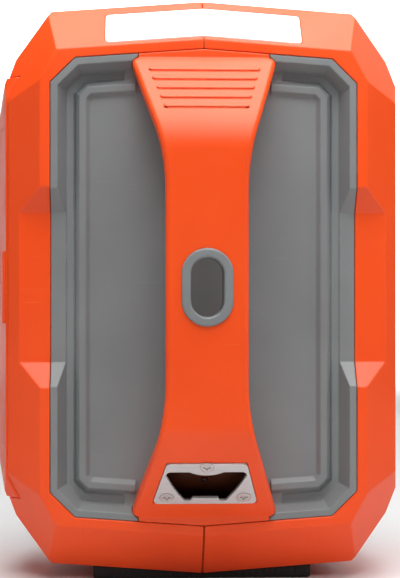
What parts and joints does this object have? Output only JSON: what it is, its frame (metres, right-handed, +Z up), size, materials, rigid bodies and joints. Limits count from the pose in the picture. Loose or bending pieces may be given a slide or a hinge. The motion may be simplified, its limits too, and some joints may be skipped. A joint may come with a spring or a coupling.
{
  "type": "jump starter pack",
  "caption": "Upright faceted jump starter pack with a bridging carry handle, bottle opener, lamp bar, side socket door and rear controls.",
  "frame": {"origin": "on the floor under the middle of the whole pack's bounding box", "axes": "+Z up, -Y towards the handle side, +X to the right of someone facing the handle"},
  "size_m": [0.2552, 0.1816, 0.3553],
  "materials": {
    "orange_plastic": "satin moulded ABS",
    "grey_plastic": "fine grain moulded ABS",
    "black_plastic": "fine grain moulded plastic",
    "black_rubber": "moulded rubber",
    "lens_plastic": "frosted translucent lens",
    "clear_plastic": "clear window",
    "white_plastic": "white reflector",
    "steel_plate": "brushed stainless steel",
    "steel_screw": "zinc plated steel",
    "brass_contact": "plated brass",
    "board_green": "solder mask",
    "component_black": "moulded components",
    "aluminium_fins": "extruded",
    "cell_plates": "lead plates and soaked glass mat",
    "cable_red": "insulated cable",
    "cable_black": "insulated cable",
    "copper_lug": "tinned copper",
    "led_white": "light source"
  },
  "bodies": {
    "case": {"left_housing": "orange_plastic", "right_housing": "orange_plastic", "seam_screws": "steel_screw", "front_foot": "black_rubber", "rear_foot": "black_rubber", "foot_screws": "steel_screw", "carry_handle": "orange_plastic", "handle_back_cover": "orange_plastic", "cover_screws": "steel_screw", "handle_grommet": "grey_plastic", "handle_screws": "steel_screw", "opener_plate": "steel_plate", "opener_screws": "steel_screw", "front_panel": "grey_plastic", "rear_panel": "grey_plastic", "rear_panel_screws": "steel_screw", "front_panel_screws": "steel_screw", "lamp_lens": "lens_plastic", "lamp_reflector": "white_plastic", "lamp_board": "board_green", "lamp_leds": "led_white", "door_hinge_pins": "steel_screw", "port_bay": "black_plastic", "door_seal": "black_rubber", "aux_socket": "black_plastic", "aux_contact": "brass_contact", "aux_cap_pin": "steel_screw", "usb_socket": "black_plastic", "usb_tongues": "white_plastic", "charge_inlet": "black_plastic", "charge_pin": "brass_contact", "jump_socket": "black_plastic", "jump_contacts": "brass_contact", "control_fascia": "black_plastic", "display_window": "clear_plastic", "status_display": "component_black", "button_switches": "component_black", "control_board": "board_green", "boost_switch": "black_plastic", "battery_case": "black_plastic", "battery_cells": "cell_plates", "battery_terminals": "brass_contact", "battery_pads": "black_rubber", "battery_tray": "grey_plastic", "battery_straps": "steel_plate", "strap_screws": "steel_screw", "main_board": "board_green", "board_standoffs": "aluminium_fins", "board_screws": "steel_screw", "board_components": "component_black", "heat_sink": "aluminium_fins", "positive_cable": "cable_red", "negative_cable": "cable_black", "cable_lugs": "copper_lug"},
    "door": {"side_door": "orange_plastic"},
    "socket_cap": {"aux_cap": "black_rubber"},
    "power_button": {"power_button": "orange_plastic"},
    "lamp_button": {"lamp_button": "grey_plastic"},
    "boost_knob": {"boost_knob": "orange_plastic"}
  },
  "joints": [
    {"name": "door_hinge", "type": "hinge", "parent": "case", "child": "door", "pos_m": [-0.1196, 0.0754, 0.1795], "axis": [0, 0, -1], "range_deg": [0, 115]},
    {"name": "cap_hinge", "type": "hinge", "parent": "case", "child": "socket_cap", "pos_m": [-0.0882, 0.0394, 0.2575], "axis": [0, 0, -1], "range_deg": [0, 90]},
    {"name": "power_press", "type": "slide", "parent": "case", "child": "power_button", "axis": [0, -1, 0], "range_m": [0, 0.0015], "stiffness_N_per_m": 800},
    {"name": "lamp_press", "type": "slide", "parent": "case", "child": "lamp_button", "axis": [0, -1, 0], "range_m": [0, 0.0015], "stiffness_N_per_m": 800},
    {"name": "boost_turn", "type": "hinge", "parent": "case", "child": "boost_knob", "pos_m": [0.038, 0.0838, 0.2415], "axis": [0, 1, 0], "range_deg": [0, 90]}
  ]
}
